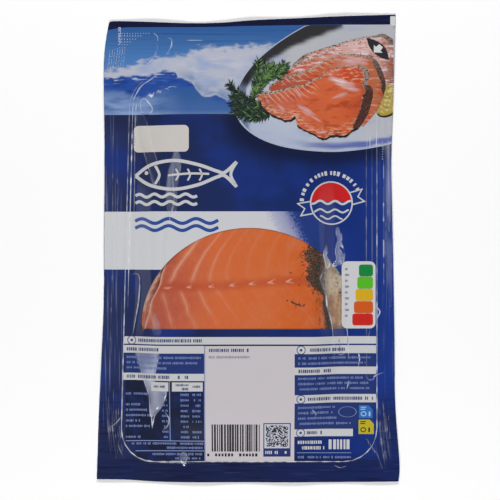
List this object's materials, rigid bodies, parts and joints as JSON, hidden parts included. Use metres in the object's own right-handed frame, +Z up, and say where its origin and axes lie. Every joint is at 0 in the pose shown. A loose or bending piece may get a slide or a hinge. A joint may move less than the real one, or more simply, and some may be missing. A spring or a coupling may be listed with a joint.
{
  "type": "vacuum pack of smoked salmon",
  "caption": "Flat sealed vacuum pack: printed top film with a clear half-oval window over sliced smoked fish with a herb edge, on a formed base film with a wide flange.",
  "frame": {"origin": "middle of the pack's footprint, on the surface that it lies on", "axes": "+Y along the pack's length to its top edge, +X to the right of the printed side, +Z up out of the printed side"},
  "size_m": [0.155, 0.2394, 0.0076],
  "materials": {
    "base_film": "glossy formed polyamide and polyethylene film, milky clear",
    "insert_card": "satin tan food board",
    "salmon_flesh": "moist orange fish flesh with pale fat lines",
    "herbs": "dark green chopped herb crust, matt",
    "printed_film": "glossy laminated film, navy print with white and picture fields",
    "clear_film": "clear glossy film"
  },
  "bodies": {
    "root": {"base_film": "base_film", "insert_card": "insert_card", "salmon": "salmon_flesh", "herb_crust": "herbs", "top_film": "printed_film", "window_film": "clear_film"}
  },
  "joints": []
}
